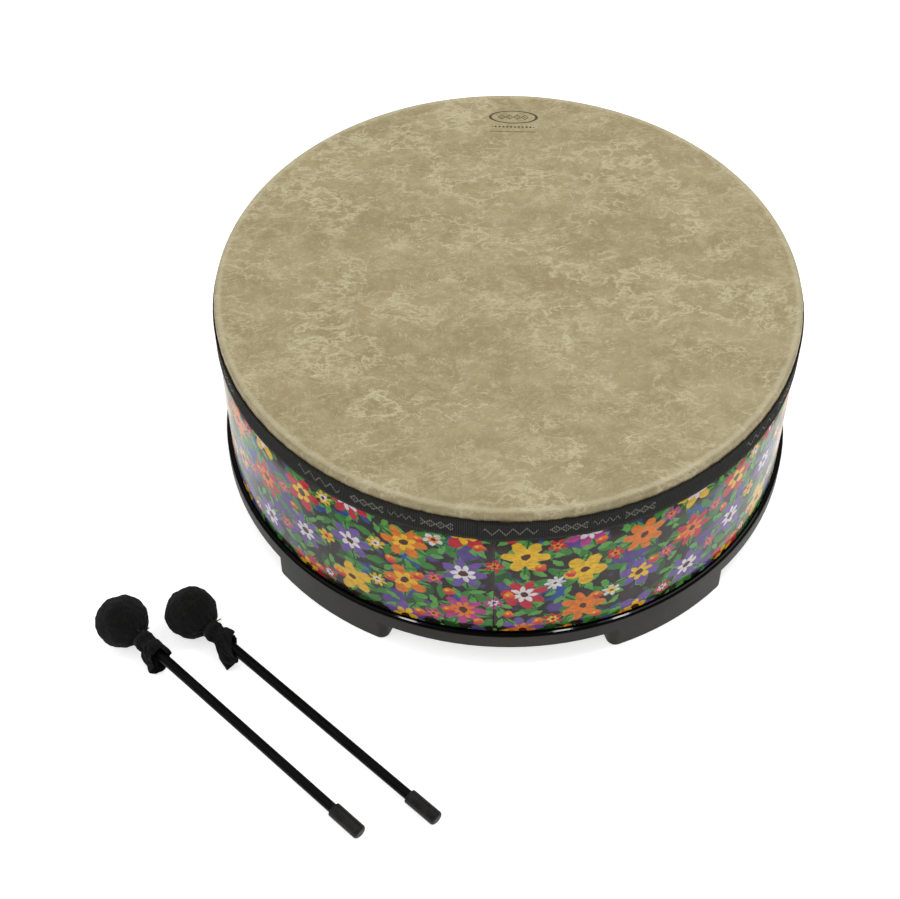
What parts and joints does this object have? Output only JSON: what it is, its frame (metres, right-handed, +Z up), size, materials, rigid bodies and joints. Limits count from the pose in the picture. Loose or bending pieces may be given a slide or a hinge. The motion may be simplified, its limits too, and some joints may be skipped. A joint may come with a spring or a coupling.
{
  "type": "frame drum",
  "caption": "Round floor-standing frame drum with a film head, printed shell wrap and moulded foot ring, with its pair of fleece-covered mallets.",
  "frame": {"origin": "on the drum's axis, at the floor that the feet stand on", "axes": "+Z up along the drum's axis; -Y towards the player's side, where the webbing's lap and the wrap's seam are; the mallets lie on the floor at -X, -Y"},
  "size_m": [0.665, 0.7599, 0.222],
  "materials": {
    "shell_composite": "satin sealed wood-fibre composite",
    "head_film": "tan polyester film with pale fibres laid in it, low sheen",
    "webbing": "black ribbed woven webbing with pale woven marks",
    "printed_laminate": null,
    "ring_plastic": "black moulded plastic, satin wall and glossier rounded ledge",
    "rod_plastic": "black satin drawn rod",
    "core_rubber": "plain moulded rubber",
    "fleece": "black short-pile fleece",
    "thread": "black twisted thread",
    "cap_rubber": "black smooth rubber"
  },
  "bodies": {
    "drum": {"shell": "shell_composite", "drumhead_film": "head_film", "head_webbing": "webbing", "shell_wrap": "printed_laminate", "foot_ring": "ring_plastic"},
    "mallet_left": {"mallet_left_rod": "rod_plastic", "mallet_left_ball_core": "core_rubber", "mallet_left_ball_cover": "fleece", "mallet_left_cover_tail": "fleece", "mallet_left_neck_tie": "thread", "mallet_left_end_cap": "cap_rubber"},
    "mallet_right": {"mallet_right_rod": "rod_plastic", "mallet_right_ball_core": "core_rubber", "mallet_right_ball_cover": "fleece", "mallet_right_cover_tail": "fleece", "mallet_right_neck_tie": "thread", "mallet_right_end_cap": "cap_rubber"}
  },
  "joints": [
    {"name": "mallet_left_lift", "type": "slide", "parent": "drum", "child": "mallet_left", "axis": [0, 0, 1], "range_m": [0, 0.3]},
    {"name": "mallet_right_lift", "type": "slide", "parent": "drum", "child": "mallet_right", "axis": [0, 0, 1], "range_m": [0, 0.3]}
  ]
}
